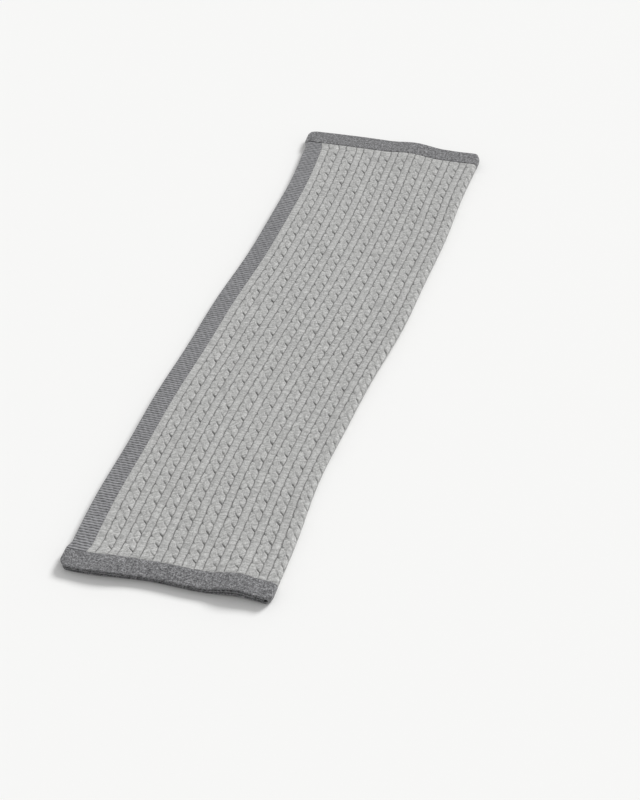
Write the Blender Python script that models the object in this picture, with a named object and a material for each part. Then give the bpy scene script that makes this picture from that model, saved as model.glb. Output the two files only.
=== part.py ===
"""Cable-knit throw blanket, folded lengthwise in three and laid out on a flat surface.

The throw is a rectangle of knitted cloth. Each knitted piece of it is first cut as a flat slab,
in the cloth's own flat coordinates:

    u  across the throw, from the long edge that lies on top to the one tucked inside the fold
    v  along the throw, from the near hem to the far hem
    n  through the cloth, from its middle: positive towards the right side, where the cables are

The slab is then folded into a C with one back-and-forth section and laid down by lay_down().
X runs across the folded throw, Y along it, Z up. Units are metres.
"""

import math
from collections import namedtuple

import bmesh
import bpy
from mathutils import Vector

# The knitted cloth
CABLE_WIDTH = 0.026
RIB_WIDTH = 0.0175
REPEAT = CABLE_WIDTH + RIB_WIDTH
REPEATS = 27
CABLE_PITCH = 0.0305
SIDE_BAND = 0.042
END_BAND = 0.050
THROW_WIDTH = 2 * SIDE_BAND + RIB_WIDTH + REPEATS * REPEAT
THROW_LENGTH = 1.70
FIELD_THICKNESS = 0.0055
BAND_THICKNESS = 0.0045
LINK_GAP = 0.0003

# How far the relief of the right side lies below the crest of the cables
GROOVE_DEPTH = 0.0030
RIB_CREST_DEPTH = 0.0008
CABLE_VALLEY_DEPTH = 0.0017
CABLE_FLANK = 0.42
GROOVE_RUN_OUT = 0.008
CABLE_RUN_OUT = 1.5 * CABLE_PITCH

# The fold: top layer, outer nose, bottom layer, inner nose, inner layer
LAYER_GAP = 0.0012
LAYER_PITCH = FIELD_THICKNESS + LAYER_GAP
OUTER_NOSE_RADIUS = LAYER_PITCH
INNER_NOSE_RADIUS = LAYER_PITCH / 2
INNER_NOSE_SETBACK = 0.010
INNER_EDGE_SETBACK = 0.006
OUTER_NOSE_ARC = math.pi * OUTER_NOSE_RADIUS
INNER_NOSE_ARC = math.pi * INNER_NOSE_RADIUS
TOP_RUN = (THROW_WIDTH - OUTER_NOSE_ARC - INNER_NOSE_ARC + 2 * INNER_NOSE_SETBACK + INNER_EDGE_SETBACK) / 3
BOTTOM_RUN = TOP_RUN - INNER_NOSE_SETBACK
TOP_EDGE_X = -(TOP_RUN + OUTER_NOSE_RADIUS) / 2
OUTER_NOSE_X = TOP_EDGE_X + TOP_RUN
INNER_NOSE_X = TOP_EDGE_X + INNER_NOSE_SETBACK
FIRST_RIB_X = TOP_EDGE_X + SIDE_BAND + RIB_WIDTH / 2
VISIBLE_CABLES = 1 + int((TOP_RUN - SIDE_BAND - RIB_WIDTH) / REPEAT)
BOTTOM_Z = FIELD_THICKNESS / 2
TOP_Z = BOTTOM_Z + 2 * LAYER_PITCH

# How the folded throw lies
SWAY = 0.034
SWAY_REACH = 0.62
NOSE_PUFF = 0.12
NOSE_PUFF_WIDTH = 0.060
SOFT_PUFF = 0.06
SOFT_PUFF_LENGTH = 0.70
SOFT_PUFF_SLANT = 1.8
EDGE_ROLL = 0.0022
EDGE_THINNING = 0.55
CORNER_RADIUS = 0.020
CORNER_LINES = (0.008, 0.014, CORNER_RADIUS)
TOP_FLARE = 0.0065
LOWER_FLARE = 0.0020
FLARE_LENGTH = 0.022
HEM_REACH = 0.150
HEM_SETBACK = 0.006
RIPPLE_UNDERSIDE = 0.35

Wave = namedtuple("Wave", "size length phase")
EDGE_WAVES = (Wave(size=0.0030, length=0.86, phase=1.0), Wave(size=0.0015, length=0.37, phase=0.0))
NEAR_HEM_WAVES = (Wave(size=0.0050, length=0.62, phase=0.9), Wave(size=0.0030, length=0.21, phase=2.8))
FAR_HEM_WAVES = (Wave(size=0.0035, length=0.55, phase=2.4),)

Ripple = namedtuple("Ripple", "x y half_width half_length lean height")
RIPPLES = (
    Ripple(x=0.140, y=-0.850, half_width=0.062, half_length=0.200, lean=-0.10, height=0.0095),
    Ripple(x=-0.120, y=-0.835, half_width=0.070, half_length=0.140, lean=0.15, height=0.0040),
    Ripple(x=-0.034, y=-0.120, half_width=0.100, half_length=0.420, lean=0.22, height=0.0035),
    Ripple(x=0.053, y=0.850, half_width=0.070, half_length=0.220, lean=0.12, height=0.0065),
)

# Where the flat slabs are divided
NOSE_STEPS = 5
STATIONS_FROM_HEM = (0.085, 0.125, 0.175, 0.235, 0.310, 0.410, 0.530, 0.680)
ROWS_PER_CABLE = 2

Span = namedtuple("Span", "start end")
FIELD_U = Span(SIDE_BAND + LINK_GAP / 2, THROW_WIDTH - SIDE_BAND - LINK_GAP / 2)
FIELD_V = Span(END_BAND + LINK_GAP / 2, THROW_LENGTH - END_BAND - LINK_GAP / 2)
WHOLE_U = Span(0.0, THROW_WIDTH)
FIELD_ROWS = ROWS_PER_CABLE * round((FIELD_V.end - FIELD_V.start) / CABLE_PITCH)
ROW_STEP = (FIELD_V.end - FIELD_V.start) / FIELD_ROWS

# How close counts as on a line: in metres, in rows and in half widths of a cable
TOUCHING = 1e-5
MERGE_DISTANCE = 1e-6
ON_ROW = 0.01
ON_FLANK = 0.99

MATERIALS = {
    "pale_melange_knit": ((0.50, 0.50, 0.49, 1.0), 0.95),
    "dark_melange_knit": ((0.215, 0.215, 0.222, 1.0), 0.95),
}


def smooth(t):
    """0 before 0, 1 after 1, and an even rise between them."""
    t = min(1.0, max(0.0, t))
    return t * t * (3 - 2 * t)


def hump(t):
    """1 at 0, falling softly to 0 at -1 and 1."""
    return math.cos(math.pi * t / 2) ** 2 if abs(t) < 1 else 0.0


def folded_section(u):
    """Middle of the cloth in the folded section at u, as (x, z), and the way its right side faces."""
    if u <= TOP_RUN:
        return (TOP_EDGE_X + u, TOP_Z), (0.0, 1.0)
    u -= TOP_RUN
    if u <= OUTER_NOSE_ARC:
        turn = u / OUTER_NOSE_RADIUS
        facing = (math.sin(turn), math.cos(turn))
        centre_z = BOTTOM_Z + OUTER_NOSE_RADIUS
        return (OUTER_NOSE_X + OUTER_NOSE_RADIUS * facing[0], centre_z + OUTER_NOSE_RADIUS * facing[1]), facing
    u -= OUTER_NOSE_ARC
    if u <= BOTTOM_RUN:
        return (OUTER_NOSE_X - u, BOTTOM_Z), (0.0, -1.0)
    u -= BOTTOM_RUN
    if u <= INNER_NOSE_ARC:
        turn = u / INNER_NOSE_RADIUS
        facing = (-math.sin(turn), -math.cos(turn))
        centre_z = BOTTOM_Z + INNER_NOSE_RADIUS
        return (INNER_NOSE_X + INNER_NOSE_RADIUS * facing[0], centre_z + INNER_NOSE_RADIUS * facing[1]), facing
    u -= INNER_NOSE_ARC
    return (INNER_NOSE_X + u, BOTTOM_Z + LAYER_PITCH), (0.0, 1.0)


def wave_sum(waves, at):
    """The waves added up at one place along them."""
    return sum(w.size * math.sin(math.tau * at / w.length + w.phase) for w in waves)


def hem_wave(x, y):
    """How far the hem nearest y waves at x. It runs straight from the middle of one rib to the next."""
    waves = NEAR_HEM_WAVES if y < 0 else FAR_HEM_WAVES
    ribs = (x - FIRST_RIB_X) / REPEAT
    before = min(max(math.floor(ribs), 0), VISIBLE_CABLES - 2)
    start, end = (wave_sum(waves, FIRST_RIB_X + k * REPEAT) for k in (before, before + 1))
    return start + (end - start) * (ribs - before)


def round_corner(from_side, from_hem):
    """How far a point near a square corner moves inwards, off its side and off its hem, to make the corner round."""
    side = 1 - from_side / CORNER_RADIUS
    hem = 1 - from_hem / CORNER_RADIUS
    if side <= 0 or hem <= 0:
        return 0.0, 0.0
    round_side = side * math.sqrt(1 - hem * hem / 2)
    round_hem = hem * math.sqrt(1 - side * side / 2)
    return (side - round_side) * CORNER_RADIUS, (hem - round_hem) * CORNER_RADIUS


def lay_down(x, y, z):
    """The point of the neatly folded throw where it comes to lie, with its ripples, puffs and sway."""
    across = x / abs(TOP_EDGE_X)
    height = z / TOP_Z
    from_hem = THROW_LENGTH / 2 - abs(y)
    from_side = x - TOP_EDGE_X if x < 0 else OUTER_NOSE_X + OUTER_NOSE_RADIUS + FIELD_THICKNESS / 2 - x
    below = 1 - height
    near_hem = smooth(1 - from_hem / HEM_REACH)
    in_band = smooth(1 + (END_BAND - from_hem) / FLARE_LENGTH)

    puff = SOFT_PUFF * (1 + math.sin(math.tau * y / SOFT_PUFF_LENGTH + SOFT_PUFF_SLANT * across))
    puff += NOSE_PUFF * smooth(1 - (OUTER_NOSE_X - x) / NOSE_PUFF_WIDTH)
    ripple = sum(
        r.height * hump((x - r.x - r.lean * (y - r.y)) / r.half_width) * hump((y - r.y) / r.half_length)
        for r in RIPPLES
    )
    lift = ripple * (RIPPLE_UNDERSIDE + (1 - RIPPLE_UNDERSIDE) * smooth(height))

    flare = -(TOP_FLARE + LOWER_FLARE * below) * in_band * smooth(-across)
    sway = SWAY * math.sin(math.pi / 2 * max(-1.0, min(1.0, y / SWAY_REACH)))
    wander = wave_sum(EDGE_WAVES, y) * across

    hem = hem_wave(x, y) - math.copysign(HEM_SETBACK * below, y)
    corner_x, corner_y = round_corner(max(from_side, 0), max(from_hem, 0))

    return Vector(
        (
            x + sway + wander + flare - math.copysign(corner_x, x),
            y + hem * near_hem - math.copysign(corner_y, y),
            z * (1 + puff) + lift,
        )
    )


def place(u, v, n):
    """The point of the finished throw that is u, v, n in the flat cloth."""
    (x, z), (facing_x, facing_z) = folded_section(u)
    return lay_down(x + n * facing_x, v - THROW_LENGTH / 2, z + n * facing_z)


def shared_lines():
    """The u where every layer is divided, at the same places across the throw, and the steps of both noses."""
    first_rib = SIDE_BAND + RIB_WIDTH / 2
    top = [SIDE_BAND / 2] + [first_rib + k * REPEAT for k in range(VISIBLE_CABLES)]
    bottom_start = TOP_RUN + OUTER_NOSE_ARC
    inner_nose = bottom_start + BOTTOM_RUN
    bottom = [bottom_start + TOP_RUN - u for u in top]
    inner = [inner_nose + INNER_NOSE_ARC + u - INNER_NOSE_SETBACK for u in top]
    noses = [
        start + arc * k / NOSE_STEPS
        for start, arc in ((TOP_RUN, OUTER_NOSE_ARC), (inner_nose, INNER_NOSE_ARC))
        for k in range(NOSE_STEPS + 1)
    ]
    return sorted(top + noses + bottom + inner)


def cut(bm, axis, at, faces=None):
    """Divides the slab, or only the given faces of it, where its u or v is at."""
    faces = list(bm.faces) if faces is None else faces
    edges = {e for f in faces for e in f.edges}
    verts = {p for f in faces for p in f.verts}
    point, normal = Vector((0, 0, 0)), Vector((0, 0, 0))
    point[axis] = at
    normal[axis] = 1
    bmesh.ops.bisect_plane(
        bm, geom=[*verts, *edges, *faces], dist=MERGE_DISTANCE, plane_co=point, plane_no=normal
    )


def stations():
    """The v where every layer is divided, closer together near the hems, each on a crest row of the cables."""
    wanted = [*STATIONS_FROM_HEM, THROW_LENGTH / 2, *(THROW_LENGTH - v for v in reversed(STATIONS_FROM_HEM))]
    crest_step = ROWS_PER_CABLE * ROW_STEP
    return [FIELD_V.start + crest_step * round((v - FIELD_V.start) / crest_step) for v in wanted]


def flat_slab(span_u, span_v, thickness, lines_u, lines_v):
    """A slab of flat cloth of that extent, divided along u and v."""
    bm = bmesh.new()
    bmesh.ops.create_cube(bm, size=1)
    size = Vector((span_u.end - span_u.start, span_v.end - span_v.start, thickness))
    middle = Vector(((span_u.end + span_u.start) / 2, (span_v.end + span_v.start) / 2, 0))
    bmesh.ops.scale(bm, vec=size, verts=bm.verts)
    bmesh.ops.translate(bm, vec=middle, verts=bm.verts)
    for axis, span, lines in ((0, span_u, lines_u), (1, span_v, lines_v)):
        for at in lines:
            if span.start + LINK_GAP < at < span.end - LINK_GAP:
                cut(bm, axis, at)
    return bm


def fold(bm):
    """Moves every point of a flat slab to its place in the finished throw."""
    for vert in bm.verts:
        vert.co = place(*vert.co)


def soften_free_edges(bm, free_u, free_v):
    """Rolls the cut edges of the cloth thinner, so that they are round and not square."""
    for vert in bm.verts:
        on_side = any(abs(vert.co.x - at) < TOUCHING for at in free_u)
        on_hem = any(abs(vert.co.y - at) < TOUCHING for at in free_v)
        if on_side or on_hem:
            vert.co.z *= EDGE_THINNING


def cable_spans():
    """Where the cables lie across the part of the field that shows."""
    starts = [SIDE_BAND + RIB_WIDTH + k * REPEAT for k in range(VISIBLE_CABLES)]
    return [Span(start, start + CABLE_WIDTH) for start in starts]


def right_side(bm, start, end):
    """The faces of the right side of a flat slab whose middle is at a u from start to end."""
    return [f for f in bm.faces if f.normal.z > 0.5 and start < f.calc_center_median().x < end]


def cut_cable_lines(bm, cables):
    """Divides the right side along both edges and both crests of every cable."""
    for c in cables:
        middle = (c.start + c.end) / 2
        reach = CABLE_FLANK * CABLE_WIDTH / 2
        for at in (c.start, middle - reach, middle + reach, c.end):
            cut(bm, 0, at, right_side(bm, c.start - RIB_WIDTH, c.end + RIB_WIDTH))


def from_field_end(v):
    """The distance from v to the nearer end of the cable-knit field."""
    return min(v - FIELD_V.start, FIELD_V.end - v)


def ends_fade(v):
    """0 at the ends of the field, where the cables run out flat, and 1 a short way inside them."""
    return smooth(from_field_end(v) / CABLE_RUN_OUT)


def knit_relief(bm, cables):
    """Sinks the grooves beside the cables, and the ribs a little below the cables, on the right side."""
    ribs = [FIELD_U.start, *(c.end for c in cables[:-1])]
    for vert in bm.verts:
        u, v, n = vert.co
        if n < FIELD_THICKNESS / 2 - TOUCHING:
            continue
        if any(abs(u - edge) < TOUCHING for c in cables for edge in c):
            vert.co.z -= GROOVE_DEPTH * smooth(from_field_end(v) / GROOVE_RUN_OUT)
        elif any(0 < u - rib < RIB_WIDTH for rib in ribs):
            vert.co.z -= RIB_CREST_DEPTH


def twist_cables(bm, cables):
    """Turns the straight rows across each cable to the slant of its strands, every second row sunk."""
    for vert in bm.verts:
        u, v, n = vert.co
        cable = next((c for c in cables if c.start - TOUCHING < u < c.end + TOUCHING), None)
        if n < 0 or cable is None:
            continue
        side = (2 * u - cable.start - cable.end) / CABLE_WIDTH
        rows = (v - FIELD_V.start) / ROW_STEP
        on_row = abs(rows - round(rows)) < ON_ROW
        if on_row and round(rows) % ROWS_PER_CABLE and abs(side) < ON_FLANK:
            vert.co.z -= CABLE_VALLEY_DEPTH * ends_fade(v)
        vert.co.y -= side * CABLE_PITCH / 2 * ends_fade(v)


def cable_field():
    """The pale cable-knit panel: one slab, its right side raised where it shows."""
    cables = cable_spans()
    bm = flat_slab(FIELD_U, FIELD_V, FIELD_THICKNESS, shared_lines(), stations())

    cut_cable_lines(bm, cables)
    for k in range(1, FIELD_ROWS):
        flank = k % ROWS_PER_CABLE * (1 - CABLE_FLANK) * CABLE_WIDTH / 2
        faces = [f for c in cables for f in right_side(bm, c.start + flank, c.end - flank)]
        cut(bm, 1, FIELD_V.start + k * ROW_STEP, faces)
    knit_relief(bm, cables)
    twist_cables(bm, cables)
    fold(bm)
    return bm


def band_span(start, width):
    """The extent of a band across its width, less half a gap where it is linked to the field."""
    if start == 0:
        return Span(0.0, width - LINK_GAP / 2)
    return Span(start + LINK_GAP / 2, start + width)


def side_band(start):
    """One dark band along a long edge, between the end bands. start is its lower u."""
    lines_u = [EDGE_ROLL, *shared_lines(), THROW_WIDTH - EDGE_ROLL]
    bm = flat_slab(band_span(start, SIDE_BAND), FIELD_V, BAND_THICKNESS, lines_u, stations())
    soften_free_edges(bm, [0.0, THROW_WIDTH], [])
    fold(bm)
    return bm


def end_band(start):
    """One dark band along a hem, across the whole throw. start is its lower v."""
    from_hem = [EDGE_ROLL, *CORNER_LINES]
    lines_v = [*from_hem, *(THROW_LENGTH - at for at in from_hem)]
    lines_u = [*from_hem, *shared_lines(), THROW_WIDTH - EDGE_ROLL]
    bm = flat_slab(WHOLE_U, band_span(start, END_BAND), BAND_THICKNESS, lines_u, lines_v)
    cut_cable_lines(bm, cable_spans())
    soften_free_edges(bm, [0.0, THROW_WIDTH], [0.0, THROW_LENGTH])
    fold(bm)
    return bm


def knit_material(name):
    """A matt wool material of one of the two yarns."""
    colour, roughness = MATERIALS[name]
    material = bpy.data.materials.new(name)
    material.use_nodes = True
    shader = material.node_tree.nodes["Principled BSDF"]
    shader.inputs["Base Color"].default_value = colour
    shader.inputs["Roughness"].default_value = roughness
    shader.inputs["Metallic"].default_value = 0.0
    return material


def add_piece(collection, name, bm, material):
    """Makes an object of a finished piece."""
    mesh = bpy.data.meshes.new(name)
    bm.to_mesh(mesh)
    bm.free()
    mesh.materials.append(material)
    piece = bpy.data.objects.new(name, mesh)
    collection.objects.link(piece)
    return piece


def stand_on_origin(pieces):
    """Moves the pieces together so that the middle of their common base is the origin."""
    corners = [p.co for piece in pieces for p in piece.data.vertices]
    low = Vector([min(c[k] for c in corners) for k in range(3)])
    high = Vector([max(c[k] for c in corners) for k in range(3)])
    shift = Vector((-(low.x + high.x) / 2, -(low.y + high.y) / 2, -low.z))
    for piece in pieces:
        for point in piece.data.vertices:
            point.co += shift


def main():
    for old in list(bpy.data.objects):
        bpy.data.objects.remove(old)
    collection = bpy.data.collections.new("cable_knit_throw")
    bpy.context.scene.collection.children.link(collection)
    pale = knit_material("pale_melange_knit")
    dark = knit_material("dark_melange_knit")
    pieces = [
        add_piece(collection, "cable_field", cable_field(), pale),
        add_piece(collection, "side_band_outer", side_band(0.0), dark),
        add_piece(collection, "side_band_inner", side_band(THROW_WIDTH - SIDE_BAND), dark),
        add_piece(collection, "end_band_near", end_band(0.0), dark),
        add_piece(collection, "end_band_far", end_band(THROW_LENGTH - END_BAND), dark),
    ]
    stand_on_origin(pieces)


main()
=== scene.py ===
"""Cable-knit throw blanket, folded lengthwise in three and laid out on a pale floor.

Each knitted piece is a closed sheet. Its points are first laid out in the cloth's own flat coordinates,
as in the solids:

    u  across the throw, from the long edge that lies on top to the one tucked inside the fold
    v  along the throw, from the near hem to the far hem
    n  through the cloth, from its middle: positive towards the right side, where the cables are

The cables, ribs and ridges are raised in those points. Then the sheet is folded and laid down like the
solids, and gets a melange wool finish whose stitches follow the knitting. Units are metres.
"""

import logging
import math
from dataclasses import dataclass
from enum import Enum

import bmesh
import bpy
import numpy as np
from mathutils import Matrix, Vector


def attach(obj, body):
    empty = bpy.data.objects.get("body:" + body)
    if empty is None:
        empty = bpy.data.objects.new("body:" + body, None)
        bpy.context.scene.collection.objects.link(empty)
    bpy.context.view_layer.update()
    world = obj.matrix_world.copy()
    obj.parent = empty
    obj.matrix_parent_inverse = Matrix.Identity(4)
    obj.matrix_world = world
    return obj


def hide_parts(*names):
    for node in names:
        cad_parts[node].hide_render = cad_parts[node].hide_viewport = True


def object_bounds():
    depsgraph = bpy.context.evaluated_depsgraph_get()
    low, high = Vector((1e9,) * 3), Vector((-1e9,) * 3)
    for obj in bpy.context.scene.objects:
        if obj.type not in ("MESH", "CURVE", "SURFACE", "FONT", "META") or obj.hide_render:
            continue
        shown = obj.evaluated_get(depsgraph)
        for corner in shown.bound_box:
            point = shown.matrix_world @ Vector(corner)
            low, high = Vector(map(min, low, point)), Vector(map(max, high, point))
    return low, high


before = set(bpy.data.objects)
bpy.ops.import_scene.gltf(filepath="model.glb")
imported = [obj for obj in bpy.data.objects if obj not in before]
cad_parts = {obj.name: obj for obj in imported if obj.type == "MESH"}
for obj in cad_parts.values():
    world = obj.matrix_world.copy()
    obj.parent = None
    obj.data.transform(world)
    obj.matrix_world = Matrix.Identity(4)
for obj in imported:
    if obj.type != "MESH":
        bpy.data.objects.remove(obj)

CAD_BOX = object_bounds()
LOG = logging.getLogger("throw")
MM = 0.001

# Places within TOLERANCE of each other are the same, and points within WELD become one.
TOLERANCE = 1e-6
WELD = 10 * TOLERANCE

# Blender's noise keeps nearly always between these two values.
NOISE_LOW, NOISE_HIGH = 0.32, 0.68

MATH = "ShaderNodeMath"

Places = tuple[float, ...]
Line = tuple[np.ndarray, np.ndarray]


class Side(Enum):
    """The two sides of the cloth, with the way that each one's faces look along n."""

    RIGHT = 1
    WRONG = -1


class Turn(Enum):
    """Which way the faces of a joint turn, from its coarse line of points to its fine one."""

    LEFT = 1
    RIGHT = -1


class Nose(Enum):
    """The two noses of the fold, with where each one starts in the list of the fold's bends."""

    OUTER = 0
    INNER = 2


class LongEdge(Enum):
    """The two long edges of the throw: the outer one lies on top, the inner one is tucked in the fold."""

    OUTER = "outer"
    INNER = "inner"


class Hem(Enum):
    """The two hems of the throw."""

    NEAR = "near"
    FAR = "far"


def smooth(t: np.ndarray) -> np.ndarray:
    """Rise evenly from 0 before 0 to 1 after 1."""
    t = np.clip(t, 0.0, 1.0)
    return t * t * (3.0 - 2.0 * t)


def hump(t: np.ndarray) -> np.ndarray:
    """Fall softly from 1 at 0 to 0 at -1 and 1."""
    return np.where(np.abs(t) < 1.0, np.cos(np.clip(t, -1.0, 1.0) * math.pi / 2) ** 2, 0.0)


def sorted_once(places: np.ndarray) -> np.ndarray:
    """Sort places and drop those that repeat."""
    places = np.sort(places)
    return places[np.concatenate(([True], np.diff(places) > WELD))]


@dataclass(frozen=True)
class RoundEdge:
    """A rounded edge of the cloth: how far in it goes, and the share of the thickness at the very edge."""

    radius: float
    least: float

    def share(self, from_edge: np.ndarray) -> np.ndarray:
        """Give the share of the cloth's thickness at each distance from the edge."""
        inside = np.clip(1.0 - from_edge / self.radius, 0.0, 1.0)
        return self.least + (1.0 - self.least) * np.sqrt(1.0 - inside * inside)


@dataclass(frozen=True)
class Wave:
    """A sine wave along an edge or a groove."""

    size: float
    length: float
    phase: float

    def at(self, along: np.ndarray) -> np.ndarray:
        """Give the wave's height at each place along it."""
        return self.size * np.sin(math.tau * along / self.length + self.phase)


@dataclass(frozen=True)
class Ripple:
    """A low, long swelling that lifts the folded throw off the floor."""

    x: float
    y: float
    half_width: float
    half_length: float
    lean: float
    height: float

    def at(self, x: np.ndarray, y: np.ndarray) -> np.ndarray:
        """Give the lift at each x and y."""
        across = (x - self.x - self.lean * (y - self.y)) / self.half_width
        return self.height * hump(across) * hump((y - self.y) / self.half_length)


@dataclass(frozen=True)
class Cloth:
    """The flat throw: the widths of its knitted pieces and the thickness of its two knits."""

    cable_width: float = 26.0 * MM
    rib_width: float = 17.5 * MM
    repeats: int = 27
    cable_pitch: float = 30.5 * MM
    side_band: float = 42.0 * MM
    end_band: float = 50.0 * MM
    length: float = 1.70
    field_thickness: float = 5.5 * MM
    band_thickness: float = 4.5 * MM
    link_gap: float = 0.3 * MM

    @property
    def repeat(self) -> float:
        """Width of one cable and one rib."""
        return self.cable_width + self.rib_width

    @property
    def width(self) -> float:
        """Width of the whole flat throw."""
        return 2 * self.side_band + self.rib_width + self.repeats * self.repeat

    @property
    def field_v(self) -> tuple[float, float]:
        """Where the field starts and ends along the throw."""
        inset = self.end_band + self.link_gap / 2
        return inset, self.length - inset

    @property
    def field_u(self) -> tuple[float, float]:
        """Where the field starts and ends across the throw."""
        inset = self.side_band + self.link_gap / 2
        return inset, self.width - inset

    def rib_middle(self, number: int) -> float:
        """Give the u of the middle of a rib, counted from the outer long edge."""
        return self.side_band + self.rib_width / 2 + number * self.repeat

    def spread(self, first: float, last: float, rib: Places, cable: Places) -> np.ndarray:
        """List the u of columns of points.

        Args:
            first: where the columns start.
            last: where they end.
            rib: their places across each rib, from 0 to 1.
            cable: their places across each cable, from -1 to 1.

        Returns:
            The columns between first and last, in order, with those two among them.
        """
        places = [first, last]
        for number in range(self.repeats + 1):
            rib_start = self.side_band + number * self.repeat
            cable_middle = rib_start + self.rib_width + self.cable_width / 2
            places += [rib_start + y * self.rib_width for y in rib]
            places += [cable_middle + x * self.cable_width / 2 for x in cable]
        return sorted_once(np.array([u for u in places if first - TOLERANCE < u < last + TOLERANCE]))

    def find_knit(self, u: np.ndarray) -> tuple[np.ndarray, np.ndarray, np.ndarray]:
        """Find which rib or cable each u is in.

        Args:
            u: places across the flat field.

        Returns:
            The number of the repeat, the place across its rib from 0 to 1, and the place across its
            cable from -1 to 1, which is -1 or less in the rib.
        """
        number = np.floor((u - self.side_band + TOLERANCE) / self.repeat)
        local = u - self.side_band - number * self.repeat
        y = np.clip(local / self.rib_width, 0.0, 1.0)
        x = 2.0 * (local - self.rib_width) / self.cable_width - 1.0
        return number, y, np.minimum(x, 1.0)


@dataclass(frozen=True)
class Fold:
    """The folded section: top layer, outer nose, bottom layer, inner nose, inner layer."""

    cloth: Cloth
    layer_gap: float = 1.2 * MM
    inner_nose_setback: float = 10.0 * MM
    inner_edge_setback: float = 6.0 * MM

    @property
    def pitch(self) -> float:
        """Distance between the middles of two layers."""
        return self.cloth.field_thickness + self.layer_gap

    @property
    def outer_arc(self) -> float:
        """Length of cloth in the outer nose."""
        return math.pi * self.pitch

    @property
    def inner_arc(self) -> float:
        """Length of cloth in the inner nose."""
        return math.pi * self.pitch / 2

    @property
    def top_run(self) -> float:
        """Width of the top layer up to the outer nose."""
        spare = 2 * self.inner_nose_setback + self.inner_edge_setback
        return (self.cloth.width - self.outer_arc - self.inner_arc + spare) / 3

    @property
    def bottom_run(self) -> float:
        """Width of the bottom layer between the noses."""
        return self.top_run - self.inner_nose_setback

    @property
    def left(self) -> float:
        """The x of the free edge on top."""
        return -(self.top_run + self.pitch) / 2

    @property
    def nose_x(self) -> float:
        """The x where the outer nose starts to bend."""
        return self.left + self.top_run

    @property
    def right(self) -> float:
        """The x of the outermost point of the outer nose."""
        return self.nose_x + self.pitch + self.cloth.field_thickness / 2

    @property
    def top_z(self) -> float:
        """Height of the middle of the top layer."""
        return self.cloth.field_thickness / 2 + 2 * self.pitch

    @property
    def bends(self) -> tuple[float, float, float, float]:
        """The u where the outer nose starts and ends and where the inner nose starts and ends."""
        outer_end = self.top_run + self.outer_arc
        inner_start = outer_end + self.bottom_run
        return self.top_run, outer_end, inner_start, inner_start + self.inner_arc

    def nose_steps(self, nose: Nose, count: int) -> np.ndarray:
        """Give the u of evenly spaced columns round a nose."""
        return np.linspace(self.bends[nose.value], self.bends[nose.value + 1], count)

    def section(self, u: np.ndarray, n: np.ndarray) -> tuple[np.ndarray, np.ndarray]:
        """Fold points of the flat section.

        Args:
            u: places across the flat cloth.
            n: places through it.

        Returns:
            Their x and z in the folded section.
        """
        outer_start, outer_end, inner_start, inner_end = self.bends
        bottom_z = self.cloth.field_thickness / 2
        outer_turn = np.clip((u - outer_start) / self.pitch, 0.0, math.pi)
        inner_turn = np.clip((u - inner_start) / (self.pitch / 2), 0.0, math.pi)
        inner_x = self.left + self.inner_nose_setback

        x = np.where(u < outer_end, self.left + np.minimum(u, outer_start), self.nose_x - (u - outer_end))
        x = np.where(u > inner_start, inner_x + np.maximum(u - inner_end, 0.0), x)
        x += np.where(u < inner_start, np.sin(outer_turn), 0.0) * (self.pitch + n)
        x -= np.where(u > inner_start, np.sin(inner_turn), 0.0) * (self.pitch / 2 + n)
        upper = bottom_z + self.pitch + np.cos(outer_turn) * (self.pitch + n)
        lower = bottom_z + self.pitch / 2 - np.cos(inner_turn) * (self.pitch / 2 + n)
        return x, np.where(u < inner_start, upper, lower)


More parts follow.
